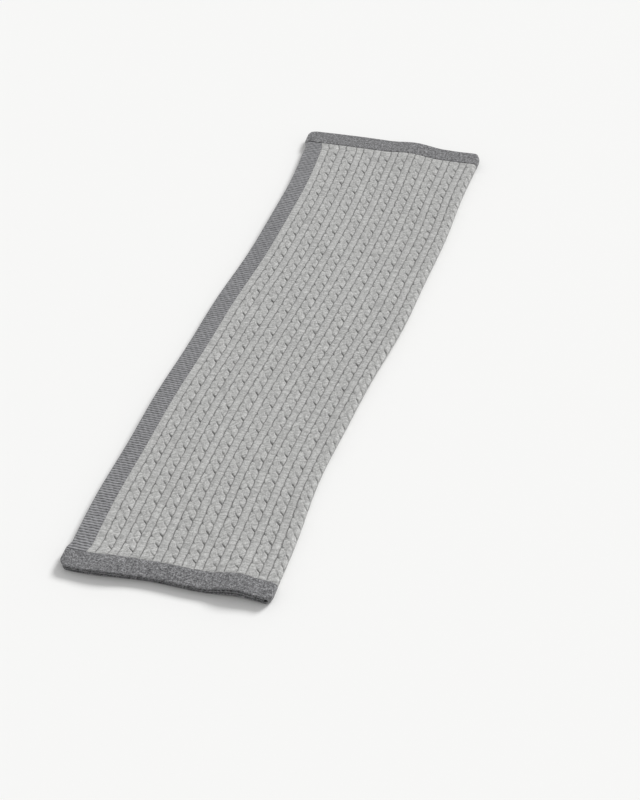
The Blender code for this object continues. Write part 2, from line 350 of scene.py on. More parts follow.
@dataclass(frozen=True)
class Lie:
    """How the neatly folded throw comes to lie: its sway, soft puffs, ripples, hems and round corners."""

    fold: Fold

    # The S-shaped sway, how far from the middle it is full, and puffs as shares of the height.
    sway: float = 34.0 * MM
    sway_reach: float = 0.62
    nose_puff: float = 0.12
    nose_puff_width: float = 60.0 * MM
    soft_puff: float = 0.06
    soft_puff_length: float = 0.70
    soft_puff_slant: float = 1.8

    # Round corners, end bands that flare past the side band, and lower layers set back at the hems.
    corner_radius: float = 20.0 * MM
    top_flare: float = 6.5 * MM
    lower_flare: float = 2.0 * MM
    flare_length: float = 22.0 * MM
    hem_reach: float = 150.0 * MM
    hem_setback: float = 6.0 * MM

    # The share of a ripple that reaches the underside, the waves of the edges and hems, and the ripples.
    underside: float = 0.35
    edge_waves: tuple[Wave, ...] = (Wave(3.0 * MM, 0.86, 1.0), Wave(1.5 * MM, 0.37, 0.0))
    near_hem: tuple[Wave, ...] = (Wave(5.0 * MM, 0.62, 0.9), Wave(3.0 * MM, 0.21, 2.8))
    far_hem: tuple[Wave, ...] = (Wave(3.5 * MM, 0.55, 2.4),)
    ripples: tuple[Ripple, ...] = (
        Ripple(x=0.140, y=-0.850, half_width=0.062, half_length=0.200, lean=-0.10, height=9.5 * MM),
        Ripple(x=-0.120, y=-0.835, half_width=0.070, half_length=0.140, lean=0.15, height=4.0 * MM),
        Ripple(x=-0.034, y=-0.120, half_width=0.100, half_length=0.420, lean=0.22, height=3.5 * MM),
        Ripple(x=0.053, y=0.850, half_width=0.070, half_length=0.220, lean=0.12, height=6.5 * MM),
    )

    def place(self, u: np.ndarray, v: np.ndarray, n: np.ndarray) -> np.ndarray:
        """Fold points of the flat cloth and lay them down.

        Args:
            u: places across the flat cloth.
            v: places along it.
            n: places through it.

        Returns:
            One row of x, y and z for each point.
        """
        fold = self.fold
        half_length = fold.cloth.length / 2
        x, z = fold.section(u, n)
        y = v - half_length
        across = x / abs(fold.left)
        height = z / fold.top_z
        from_hem = half_length - np.abs(y)
        from_side = np.where(x < 0, x - fold.left, fold.right - x)
        toward_hem = np.sign(y)
        toward_side = np.sign(x)

        wave = math.tau * y / self.soft_puff_length + self.soft_puff_slant * across
        puff = self.soft_puff * (1.0 + np.sin(wave))
        puff += self.nose_puff * smooth(1.0 - (fold.nose_x - x) / self.nose_puff_width)
        lift = sum(ripple.at(x, y) for ripple in self.ripples)
        lift = lift * (self.underside + (1.0 - self.underside) * smooth(height))

        in_band = smooth(1.0 + (fold.cloth.end_band - from_hem) / self.flare_length)
        flare = -(self.top_flare + self.lower_flare * (1.0 - height)) * in_band * smooth(-across)
        sway = self.sway * np.sin(math.pi / 2 * np.clip(y / self.sway_reach, -1.0, 1.0))
        wander = sum(wave.at(y) for wave in self.edge_waves) * across

        near_hem = smooth(1.0 - from_hem / self.hem_reach)
        near = sum(wave.at(x) for wave in self.near_hem)
        far = sum(wave.at(x) for wave in self.far_hem)
        hem = np.where(y < 0, near, far) - toward_hem * self.hem_setback * (1.0 - height)
        corner_x, corner_y = self.round_corner(from_side, from_hem)

        return np.column_stack(
            (
                x + sway + wander + flare - toward_side * corner_x,
                y + hem * near_hem - toward_hem * corner_y,
                z * (1.0 + puff) + lift,
            )
        )

    def round_corner(self, from_side: np.ndarray, from_hem: np.ndarray) -> tuple[np.ndarray, np.ndarray]:
        """Work out how far points near a square corner move inwards to make it round.

        Args:
            from_side: distances from the nearer side.
            from_hem: distances from the nearer hem.

        Returns:
            The moves off the side and off the hem.
        """
        side = np.clip(1.0 - from_side / self.corner_radius, 0.0, 1.0)
        hem = np.clip(1.0 - from_hem / self.corner_radius, 0.0, 1.0)
        off_side = side * (1.0 - np.sqrt(1.0 - hem * hem / 2.0))
        off_hem = hem * (1.0 - np.sqrt(1.0 - side * side / 2.0))
        return off_side * self.corner_radius, off_hem * self.corner_radius


@dataclass(frozen=True)
class Grid:
    """A grid of point numbers, with where its rows and columns are along and across the knitting."""

    numbers: np.ndarray
    row_at: np.ndarray
    column_at: np.ndarray

    def row(self, which: int) -> Line:
        """Give the numbers of a row's points and where they are along it."""
        return self.numbers[which], self.column_at

    def column(self, which: int) -> Line:
        """Give the numbers of a column's points and where they are along it."""
        return self.numbers[:, which], self.row_at


class SheetMesh:
    """Collects the flat points and faces of one closed sheet and makes its object."""

    def __init__(self) -> None:
        """Start an empty sheet."""
        self.points: list[np.ndarray] = []
        self.stitches: list[np.ndarray] = []
        # Each point's painted shade, which darkens its colour.
        self.painted_shades: list[np.ndarray] = []
        self.count = 0
        self.faces: list[list[int]] = []
        self.corners: list[list[list[float]]] = []

    def add_grid(
        self,
        at: tuple[np.ndarray, np.ndarray],
        flat: tuple[np.ndarray, np.ndarray, np.ndarray],
        stitch: tuple[np.ndarray, np.ndarray],
        painted_shade: np.ndarray,
        side: Side,
        cells: np.ndarray | None = None,
    ) -> Grid:
        """Add a grid of points and its faces.

        Args:
            at: where the rows and the columns are, in the terms used to join grids.
            flat: the points' u, v and n.
            stitch: the wale and the row of the knitting at each point.
            painted_shade: how much painted shade darkens each point's colour, from 0 to 1.
            side: the side of the cloth that the faces are on.
            cells: the wale and row at each face's four corners, where they differ from the points'.

        Returns:
            The grid, to be joined to others.
        """
        u, v, n = np.broadcast_arrays(*flat)
        # The third of these, deep, is each point's painted shade.
        wale, row, deep = (np.broadcast_to(values, u.shape) for values in (*stitch, painted_shade))
        numbers = np.arange(self.count, self.count + u.size).reshape(u.shape)
        self.points.append(np.column_stack((u.ravel(), v.ravel(), n.ravel())))
        self.stitches.append(np.column_stack((wale.ravel(), row.ravel())))
        self.painted_shades.append(deep.ravel())
        self.count += u.size

        def at_corners(values: np.ndarray) -> np.ndarray:
            """Give the values at the four corners of each face, in turn."""
            return np.stack((values[:-1, :-1], values[:-1, 1:], values[1:, 1:], values[1:, :-1]), axis=-1)

        quads = at_corners(numbers).reshape(-1, 4)
        if cells is None:
            cells = np.stack((at_corners(wale), at_corners(row)), axis=-1)
        cells = cells.reshape(-1, 4, 2)
        self.faces += quads[:, :: side.value].tolist()
        self.corners += cells[:, :: side.value].tolist()
        return Grid(numbers, *at)

    def join(self, fine: Line, coarse: Line, turn: Turn) -> None:
        """Join a line of closely spaced points to one of widely spaced points.

        Args:
            fine: numbers of the closely spaced points, and where they are along the line.
            coarse: the same of the widely spaced points, each of which has a fine one at its place.
            turn: which way the faces turn.
        """
        stitch = np.concatenate(self.stitches)
        (fine_numbers, fine_at), (numbers, at) = fine, coarse
        for k in range(len(numbers) - 1):
            inside = (fine_at > at[k] - TOLERANCE) & (fine_at < at[k + 1] + TOLERANCE)
            ring = [int(numbers[k]), int(numbers[k + 1]), *fine_numbers[inside][::-1].tolist()]
            ring = ring[:: turn.value]
            self.faces.append(ring)
            self.corners.append(stitch[ring].tolist())

    def close(self, right_side: list[Grid], wrong_side: Grid) -> None:
        """Join the right side's grids to each other and their outer edges to the wrong side's.

        Args:
            right_side: the grids of the right side, in order across the cloth.
            wrong_side: the wrong side's grid, with no more rows or columns than the right side's.
        """
        for grid, after in zip(right_side, right_side[1:]):
            self.join(grid.column(-1), after.column(0), Turn.LEFT)
        self.join(right_side[0].column(0), wrong_side.column(0), Turn.RIGHT)
        self.join(right_side[-1].column(-1), wrong_side.column(-1), Turn.LEFT)
        across = np.concatenate([grid.column_at for grid in right_side])
        for end, turn in ((0, Turn.LEFT), (-1, Turn.RIGHT)):
            rim = np.concatenate([grid.numbers[end] for grid in right_side])
            self.join((rim, across), wrong_side.row(end), turn)

    def finish(self, name: str, lie: Lie, knit: bpy.types.Material) -> bpy.types.Object:
        """Lay the sheet down, make its object and dress it.

        Args:
            name: the object's name.
            lie: how the cloth lies.
            knit: the knit's material.

        Returns:
            The object, at the origin, with its stitches as a UV map and its painted shade as an attribute.
        """
        flat = np.concatenate(self.points)
        places = lie.place(flat[:, 0], flat[:, 1], flat[:, 2])
        mesh = bpy.data.meshes.new(name)
        mesh.from_pydata(places.tolist(), [], self.faces)
        layer = mesh.uv_layers.new(name="stitches")
        corners = np.array([corner for ring in self.corners for corner in ring], dtype=np.float32)
        layer.data.foreach_set("uv", corners.ravel())
        # The painted shade is kept as an attribute, which the material reads to darken the colour.
        painted_shade = mesh.attributes.new("painted_shade", "FLOAT", "POINT")
        painted_shade.data.foreach_set("value", np.concatenate(self.painted_shades).astype(np.float32))

        bm = bmesh.new()
        bm.from_mesh(mesh)
        bmesh.ops.remove_doubles(bm, verts=bm.verts, dist=WELD)
        bm.to_mesh(mesh)
        bm.free()
        mesh.polygons.foreach_set("use_smooth", [True] * len(mesh.polygons))
        mesh.materials.append(knit)
        piece = bpy.data.objects.new(name, mesh)
        bpy.context.scene.collection.objects.link(piece)
        return piece


@dataclass(frozen=True)
class CableField:
    """The cable-knit field: ropes of two crossing strands between plain ribs.

    Places across a rib run from 0 to 1 and across a cable from -1 to 1. A turn is how far a place is from
    one line where the strands cross to the next, from 0 to 1.
    """

    fold: Fold

    # Depths below the highest crests: the grooves beside a cable, its flanks and crest, and the ribs.
    groove_depth: float = 3.4 * MM
    groove_sharpness: float = 24.0
    flank_depth: float = 0.8 * MM
    flank_power: int = 3
    crest_depth: float = 0.4 * MM
    rib_depth: float = 0.6 * MM
    rib_edge: float = 0.8 * MM

    # A strand dips towards a crossing, with a notch where it goes under and a lump just before that.
    strand_depth: float = 0.35 * MM
    strand_power: float = 0.6
    notch_depth: float = 2.7 * MM
    notch_half_width: float = 0.055
    notch_from: float = 0.05
    notch_left_from: float = 0.35
    notch_left_share: float = 0.45
    notch_fade: float = 0.25
    lump_height: float = 0.9 * MM
    lump_turn: float = 0.86
    lump_half_length: float = 0.10
    lump_x: float = 0.35
    lump_half_width: float = 0.75

    # The grooves draw in at a crossing and pull at the ribs. The line of a crossing slopes over its cable.
    pinch: float = 1.2 * MM
    pinch_length: float = 0.18
    pinch_power: int = 4
    rib_pull: float = 0.45
    strand_slope: float = 0.36
    strand_bend: float = 0.3
    lean_run_out: float = 1.3

    # The relief runs out into the links at the field's edges.
    run_out: float = 2.5 * MM
    end_depth: float = 0.9 * MM
    settling: float = 28.0 * MM
    link_edge: RoundEdge = RoundEdge(1.6 * MM, 0.55)

    # The knitting's scale: wales in a cable and in a rib, and the height of a row of stitches.
    wales: float = 6.0
    rib_wales: float = 4.0
    wales_apart: float = 400.0
    stitch_row: float = 3.05 * MM
    strand_row_share: float = 0.75
    row_slant: float = 0.18 / MM

    # No two repeats of real knitting are alike: they drift a little both ways and rise unevenly.
    drift_across: Wave = Wave(0.6 * MM, 0.31, 0.4)
    drift_along: Wave = Wave(1.0 * MM, 0.23, 1.1)
    drift_slant: float = 1.7
    unevenness: Wave = Wave(0.25 * MM, 0.094, 0.0)
    uneven_slant: float = 6.1

    # Painted shade starts below a depth and changes along the field, more in a notch than in a groove.
    shade_from: float = 1.2 * MM
    shade_power: float = 0.75
    shade_change: Wave = Wave(0.22, 0.047, 0.0)
    shade_step: float = 2.1
    notch_change: float = 0.42
    groove_from: float = 0.8
    # Grooves right of a cable get less painted shade, and the flat ribs get a little painted shade all
    # over.
    right_groove_shade: float = 0.8
    rib_shade: float = 0.07

    # Columns and rows of points: fine on top, coarser below and plain in the hidden layer.
    fine_rib: Places = (0.0, 0.035, 0.12, 0.5, 0.88, 0.965)
    fine_cable: Places = (-1.0, -0.955, -0.87, -0.65, -0.35, 0.0, 0.2, 0.4, 0.6, 0.78, 0.9, 0.96)
    fine_turns: Places = (0.0, 0.05, 0.15, 0.3, 0.5, 0.7, 0.85, 0.95)
    end_rows_mm: Places = (0.0, 0.3, 0.9)
    under_rib: Places = (0.0, 0.5)
    under_cable: Places = (-1.0, -0.7, 0.0, 0.7)
    under_turns: Places = (0.0, 0.15, 0.5, 0.85)
    plain_rib: Places = (0.0, 0.5)
    plain_cable: Places = (-1.0, 0.0)
    last_fine_rib: int = 9
    last_cabled_rib: int = 18
    link_column: float = 0.6 * MM
    nose_columns: int = 9
    nose_margin: float = 5.0 * MM

    @property
    def cloth(self) -> Cloth:
        """The flat throw."""
        return self.fold.cloth

    @property
    def pitches(self) -> int:
        """How many times the strands cross along the field."""
        start, end = self.cloth.field_v
        return round((end - start) / self.cloth.cable_pitch)

    @property
    def pitch(self) -> float:
        """Length from one crossing to the next."""
        start, end = self.cloth.field_v
        return (end - start) / self.pitches

    def lean(self, u: np.ndarray) -> np.ndarray:
        """Work out how a row of points leans across the knitting.

        Args:
            u: the columns.

        Returns:
            How many pitches the row lies beyond where it crosses the ribs' middles, at each column.
        """
        number, y, x = self.cloth.find_knit(u)
        bend = 2.0 * smooth((x / self.strand_bend + 1.0) / 2.0) - 1.0
        rope = -(self.strand_slope * x + (0.5 - self.strand_slope) * bend)
        rib = np.where(number == 0, 0.5 * smooth(y), smooth(y) - 0.5)
        return np.where(x > -1.0, rope, rib)

    def depth(self, u: np.ndarray, turn: np.ndarray) -> np.ndarray:
        """Work out how deep the surface lies below the crests of the cables.

        Args:
            u: the columns.
            turn: each row's place from one crossing to the next.

        Returns:
            The depth at each point.
        """
        number, y, x = self.cloth.find_knit(u)
        reach = np.clip(np.abs(x), 0.0, 1.0)
        edge = reach**self.groove_sharpness
        near_line = np.minimum(turn, 1.0 - turn)
        strand = self.strand_depth * (1.0 - (4.0 * turn * (1.0 - turn)) ** self.strand_power)
        marked = smooth((x - self.notch_from) / self.notch_fade)
        marked = marked + self.notch_left_share * smooth((-x - self.notch_left_from) / self.notch_fade)
        notch = self.notch_depth * marked * np.exp(-((near_line / self.notch_half_width) ** 2))
        over = np.exp(-(((turn - self.lump_turn) / self.lump_half_length) ** 2))
        over = over * hump((x - self.lump_x) / self.lump_half_width)
        rope = self.crest_depth + (self.groove_depth - self.flank_depth - self.crest_depth) * edge
        rope = rope + self.flank_depth * reach**self.flank_power
        rope = rope + (strand + notch - self.lump_height * over) * (1.0 - edge)
        from_groove = np.where(number == 0, 1.0 - y, np.minimum(y, 1.0 - y)) * self.cloth.rib_width
        rib = self.rib_depth + (self.groove_depth - self.rib_depth) * np.exp(-from_groove / self.rib_edge)
        return np.where(x > -1.0, rope, rib)

    def draw_in(self, u: np.ndarray, turn: np.ndarray) -> np.ndarray:
        """Work out how the grooves move towards their cable's middle where its strands cross.

        Args:
            u: the columns.
            turn: each row's place from one crossing to the next.

        Returns:
            How far each point moves across the cloth.
        """
        number, y, x = self.cloth.find_knit(u)
        near_line = np.minimum(turn, 1.0 - turn)
        size = self.pinch * np.exp(-((near_line / self.pinch_length) ** 2))
        after = np.where(number == 0, 0.0, np.clip(1.0 - y / self.rib_pull, 0.0, 1.0) ** 2)
        before = np.clip(1.0 - (1.0 - y) / self.rib_pull, 0.0, 1.0) ** 2
        inward = -np.sign(x) * np.clip(np.abs(x), 0.0, 1.0) ** self.pinch_power
        return size * np.where(x > -1.0, inward, before - after)

    def cell_stitches(self, u: np.ndarray, strand_wale: np.ndarray, row: np.ndarray) -> np.ndarray:
        """Give the wale and row at each face's corners: square to a cable's strands, straight in a rib.

        Args:
            u: the columns.
            strand_wale: the cable's wale at each point.
            row: the rib's row at each point.

        Returns:
            The wale and row at the four corners of each face.
        """
        cloth = self.cloth
        number, _, x = cloth.find_knit((u[:-1] + u[1:]) / 2)
        in_cable = (x > -1.0)[None, :]
        rib_start = cloth.side_band + number * cloth.repeat
        cable_middle = rib_start + cloth.rib_width + cloth.cable_width / 2
        rows, columns = len(row) - 1, len(u) - 1
        cells = np.empty((rows, columns, 4, 2))
        for corner, (down, over) in enumerate(((0, 0), (0, 1), (1, 1), (1, 0))):
            part = slice(down, rows + down), slice(over, columns + over)
            at = u[part[1]]
            rib_wale = (at - rib_start) * self.rib_wales / cloth.rib_width - self.rib_wales
            wale = np.where(in_cable, strand_wale[part], rib_wale[None, :])
            strand_row = row[part] * self.strand_row_share - ((at - cable_middle) * self.row_slant)[None, :]
            cells[:, :, corner, 0] = wale + (number * self.wales_apart)[None, :]
            cells[:, :, corner, 1] = np.where(in_cable, strand_row, row[part])
        return cells

    def add_knit(self, sheet: SheetMesh, u: np.ndarray, turns: Places) -> Grid:
        """Add a stretch of cables and ribs to the sheet's right side.

        Args:
            sheet: the sheet.
            u: its columns.
            turns: the rows of points from one crossing to the next.

        Returns:
            The stretch's grid.
        """
        cloth = self.cloth
        start, end = cloth.field_v
        close = np.array(self.end_rows_mm) * MM / self.pitch
        rows = np.array([k + turn for k in range(self.pitches) for turn in turns])
        rows = sorted_once(np.concatenate((rows, close, self.pitches - close)))
        turn, across = (rows % 1.0)[:, None], u[None, :]
        leaning = smooth(np.minimum(rows, self.pitches - rows) / self.lean_run_out)[:, None]
        lean = self.lean(u)[None, :]
        along = rows[:, None] + lean * leaning
        v = start + along * self.pitch
        from_end = np.minimum(v - start, end - v)
        from_link = np.minimum(from_end, across - cloth.field_u[0])
        fade = smooth(from_end / self.run_out)
        settled = smooth(from_link / self.settling)

        deep = self.end_depth + (self.depth(across, turn) - self.end_depth) * fade
        uneven = np.abs(self.unevenness.at(v + across**2 * self.uneven_slant)) * settled
        height = cloth.field_thickness / 2 - deep - uneven
        n = height * self.link_edge.share(from_link)
        new_u = across + self.draw_in(across, turn) * fade
        new_u = new_u + self.drift_across.at(v - across * self.drift_slant) * settled
        new_v = v + self.drift_along.at(v + across * self.drift_slant) * settled

        number, y, x = cloth.find_knit(u)
        row = v / self.stitch_row
        cells = self.cell_stitches(u, (along - lean + 1.0) * self.wales, row)
        # Painted shade: grooves and notches are darkened in colour from a depth on, changing along the
        # field.
        painted_shade = np.clip((deep - self.shade_from) / (self.groove_depth - self.shade_from), 0.0, 1.0)
        painted_shade = painted_shade**self.shade_power
        change = self.shade_change
        wave = math.tau * v / change.length + self.shade_step * number[None, :] * (1.0 + (x > 0.0))
        size = np.where(np.abs(x) < self.groove_from, self.notch_change, change.size)
        painted_shade = painted_shade * (1.0 - size + size * np.sin(wave))
        right_groove = (x > self.groove_from) | ((x <= -1.0) & (y < 0.5))
        painted_shade = painted_shade * np.where(right_groove, self.right_groove_shade, 1.0)
        painted_shade = painted_shade + np.where(x <= -1.0, self.rib_shade, 0.0)
        stitch = (across * self.rib_wales / cloth.rib_width, row)
        return sheet.add_grid((rows, u), (new_u, new_v, n), stitch, painted_shade, Side.RIGHT, cells)

    def add_plain(self, sheet: SheetMesh, u: np.ndarray, side: Side) -> Grid:
        """Add a stretch without cables, with one row of points for each pitch.

        Args:
            sheet: the sheet.
            u: its columns.
            side: the side of the cloth that it is on.

        Returns:
            The stretch's grid.
        """
        cloth = self.cloth
        rows = np.arange(self.pitches + 1.0)
        v = (cloth.field_v[0] + rows * self.pitch)[:, None]
        from_end = np.minimum(rows, self.pitches - rows)[:, None] * self.pitch
        from_side = np.minimum(u - cloth.field_u[0], cloth.field_u[1] - u)[None, :]
        height = cloth.field_thickness / 2 - (self.rib_depth if side is Side.RIGHT else 0.0)
        n = height * self.link_edge.share(np.minimum(from_end, from_side)) * side.value
        stitch = (u[None, :] * self.rib_wales / cloth.rib_width, v / self.stitch_row)
        return sheet.add_grid((rows, u), (u[None, :], v, n), stitch, np.zeros(1), side)

    def build(self, lie: Lie, knit: bpy.types.Material) -> bpy.types.Object:
        """Make the field.

        Args:
            lie: how the cloth lies.
            knit: the knit's material.

        Returns:
            Its object, laid down and dressed.
        """
        cloth, fold = self.cloth, self.fold
        start, end = cloth.field_u
        top_end, under_end = cloth.rib_middle(self.last_fine_rib), cloth.rib_middle(self.last_cabled_rib)
        nose_start, nose_end = fold.bends[0] - self.nose_margin, fold.bends[1] + self.nose_margin

        top = cloth.spread(start, top_end, self.fine_rib, self.fine_cable)
        nose = fold.nose_steps(Nose.OUTER, self.nose_columns)
        top = sorted_once(np.concatenate((top, [start + self.link_column], nose[nose < top_end])))
        under = cloth.spread(top_end, under_end, self.under_rib, self.under_cable)[1:]
        plain = cloth.spread(under_end, end, self.plain_rib, self.plain_cable)[1:]
        plain = sorted_once(np.concatenate((plain, fold.nose_steps(Nose.INNER, self.nose_columns))))
        back = cloth.spread(start, under_end, self.plain_rib, self.plain_cable)
        round_nose = (top[top > nose_start], under[under < nose_end])
        back = sorted_once(np.concatenate((back, *round_nose, plain)))

        sheet = SheetMesh()
        grids = [
            self.add_knit(sheet, top, self.fine_turns),
            self.add_knit(sheet, under, self.under_turns),
            self.add_plain(sheet, plain, Side.RIGHT),
        ]
        sheet.close(grids, self.add_plain(sheet, back, Side.WRONG))
        return sheet.finish("cable_knit_field", lie, knit)


@dataclass(frozen=True)
class SideBand:
    """A narrow band along a long edge, of fine ridges that run across it.

    The real ridges are about 4.5 mm apart. They are drawn 7.5 mm apart, the closest that still shows in
    the render.
    """

    fold: Fold
    edge: LongEdge
    ridge: float = 7.5 * MM
    ridge_depth: float = 1.3 * MM

    # The valleys get painted shade, which changes every few stitches and from one valley to the next.
    valley_shade: float = 0.66
    valley_change: float = 0.3
    change_stitches: int = 3
    change_step: float = 2.4
    waver: Wave = Wave(0.5 * MM, 0.021, 0.0)
    waver_slant: float = 0.53
    waver_run_out: float = 24.0 * MM
    free_edge: RoundEdge = RoundEdge(2.2 * MM, 0.3)
    link_edge: RoundEdge = RoundEdge(1.5 * MM, 0.55)
    stitch_width: float = 4.2 * MM
    stitches_per_ridge: int = 2
    rows_per_ridge: int = 6
    ridges_per_back_row: int = 3
    columns_mm: Places = (0.0, 0.3, 0.9, 1.8, 3.5, *range(6, 39, 3), 40.6, 41.4, 41.85)
    back_columns_mm: Places = (0.0, 0.9, 3.5, 12.0, 27.0, 36.0, 40.6, 41.85)

    @property
    def name(self) -> str:
        """The object's name."""
        return f"ridged_side_band_{self.edge.value}"

    def add_side(self, sheet: SheetMesh, columns_mm: Places, rows: np.ndarray, side: Side) -> Grid:
        """Add one side of the band.

        Args:
            sheet: the sheet.
            columns_mm: distances of its columns from the free edge, in millimetres.
            rows: its rows, counted in ridges.
            side: the right side, which is ridged, or the wrong one, which is plain.

        Returns:
            The side's grid.
        """
        cloth = self.fold.cloth
        start, end = cloth.field_v
        outer = self.edge is LongEdge.OUTER
        from_free = np.array(columns_mm if outer else columns_mm[::-1])[None, :] * MM
        u = from_free if outer else cloth.width - from_free
        v = (start + rows * (end - start) / rows[-1])[:, None]
        from_link = cloth.side_band - cloth.link_gap / 2 - from_free
        from_link = np.minimum(from_link, np.minimum(v - start, end - v))
        share = self.free_edge.share(from_free) * self.link_edge.share(from_link)
        valley = np.cos(math.pi * rows)[:, None] ** 2 * (1.0 if side is Side.RIGHT else 0.0)
        n = (cloth.band_thickness / 2 - valley * self.ridge_depth) * share * side.value
        stitch = (u / self.stitch_width, v * self.stitches_per_ridge / self.ridge)
        settled = smooth(np.minimum(v - start, end - v) / self.waver_run_out)
        step = self.change_step * np.round(rows)[:, None]
        change = np.sin(math.tau * u / (self.change_stitches * self.stitch_width) + step)
        # Painted shade darkens the valleys between the ridges.
        shade = valley * self.valley_shade * (1.0 + self.valley_change * change)
        v = v + self.waver.at(u + v * self.waver_slant) * settled
        return sheet.add_grid((rows, u[0]), (u, v, n), stitch, shade, side)

    def build(self, lie: Lie, knit: bpy.types.Material) -> bpy.types.Object:
        """Make the band.

        Args:
            lie: how the cloth lies.
            knit: the knit's material.

        Returns:
            Its object, laid down and dressed.
        """
        start, end = self.fold.cloth.field_v
        back_rows = round((end - start) / (self.ridge * self.ridges_per_back_row))
        ridges = back_rows * self.ridges_per_back_row
        rows = np.linspace(0, ridges, ridges * self.rows_per_ridge + 1)
        sheet = SheetMesh()
        front = self.add_side(sheet, self.columns_mm, rows, Side.RIGHT)
        back_at = np.linspace(0, ridges, back_rows + 1)
        back = self.add_side(sheet, self.back_columns_mm, back_at, Side.WRONG)
        sheet.close([front], back)
        return sheet.finish(self.name, lie, knit)


@dataclass(frozen=True)
class EndBand:
    """The smooth band across a hem, folded with the rest of the throw."""

    fold: Fold
    hem: Hem
    free_edge: RoundEdge = RoundEdge(2.2 * MM, 0.3)
    link_edge: RoundEdge = RoundEdge(1.5 * MM, 0.55)
    stitch_width: float = 3.6 * MM
    stitch_row: float = 2.7 * MM
    column_step: float = 5.0 * MM
    nose_columns: int = 13
    nose_margin: float = 1.0 * MM
    edge_columns_mm: Places = (0.0, 0.3, 0.9, 1.8, 3.5, 6.0, 9.0, 12.0, 16.0)
    middle_rows_mm: Places = (20.0, 26.0, 34.0, 42.0, 47.0, 48.6, 49.4, 49.85)

    @property
    def name(self) -> str:
        """The object's name."""
        return f"jersey_end_band_{self.hem.value}"

    def columns(self) -> np.ndarray:
        """Place the band's columns: close at the edges and noses, and even between.

        Returns:
            Their u, in order.
        """
        width = self.fold.cloth.width
        edges = np.array(self.edge_columns_mm) * MM
        even = np.arange(edges[-1] + self.column_step, width - edges[-1], self.column_step)
        noses = [self.fold.nose_steps(nose, self.nose_columns) for nose in Nose]
        for steps in noses:
            even = even[(even < steps[0] - self.nose_margin) | (even > steps[-1] + self.nose_margin)]
        return sorted_once(np.concatenate((edges, even, *noses, width - edges)))

    def build(self, lie: Lie, knit: bpy.types.Material) -> bpy.types.Object:
        """Make the band.

        Args:
            lie: how the cloth lies.
            knit: the knit's material.

        Returns:
            Its object, laid down and dressed.
        """
        cloth = self.fold.cloth
        u = self.columns()[None, :]
        rows_mm = self.edge_columns_mm + self.middle_rows_mm
        near = self.hem is Hem.NEAR
        from_free = np.array(rows_mm if near else rows_mm[::-1])[:, None] * MM
        v = from_free if near else cloth.length - from_free
        from_free_edge = np.minimum(np.minimum(u, cloth.width - u), from_free)
        from_link = cloth.end_band - cloth.link_gap / 2 - from_free
        share = self.free_edge.share(from_free_edge)
        n = cloth.band_thickness / 2 * share * self.link_edge.share(from_link)
        stitch = (u / self.stitch_width, v / self.stitch_row)
        at = (v[:, 0], u[0])
        sheet = SheetMesh()
        front = sheet.add_grid(at, (u, v, n), stitch, np.zeros(1), Side.RIGHT)
        back = sheet.add_grid(at, (u, v, -n), stitch, np.zeros(1), Side.WRONG)
        sheet.close([front], back)
        return sheet.finish(self.name, lie, knit)


def linear(colour: str) -> tuple[float, float, float, float]:
    """Turn an sRGB colour into a linear one.

    Args:
        colour: its six hex digits.

    Returns:
        Linear red, green and blue, and an alpha of 1.
    """
    parts = [int(colour[k : k + 2], 16) / 255 for k in (0, 2, 4)]
    red, green, blue = (c / 12.92 if c <= 0.04045 else ((c + 0.055) / 1.055) ** 2.4 for c in parts)
    return red, green, blue, 1.0


class NodeGraph:
    """A new material and its nodes."""

    def __init__(self, name: str) -> None:
        """Make the material, without nodes.

        Args:
            name: its name.
        """
        self.material = bpy.data.materials.new(name)
        self.material.use_nodes = True
        self.tree = self.material.node_tree
        self.tree.nodes.clear()

    def add(self, kind: str, inputs: dict[str | int, object], **settings: object) -> bpy.types.Node:
        """Add a node with its settings and links.

        Args:
            kind: the node's type.
            inputs: for each input by name or number, a value, the socket to link from, or the node whose
                first output to link from.
            settings: the node's own settings.

        Returns:
            The node.
        """
        node = self.tree.nodes.new(kind)
        for key, value in settings.items():
            setattr(node, key, value)
        for key, value in inputs.items():
            source = value.outputs[0] if isinstance(value, bpy.types.Node) else value
            if isinstance(source, bpy.types.NodeSocket):
                self.tree.links.new(source, node.inputs[key])
            else:
                node.inputs[key].default_value = value
        return node


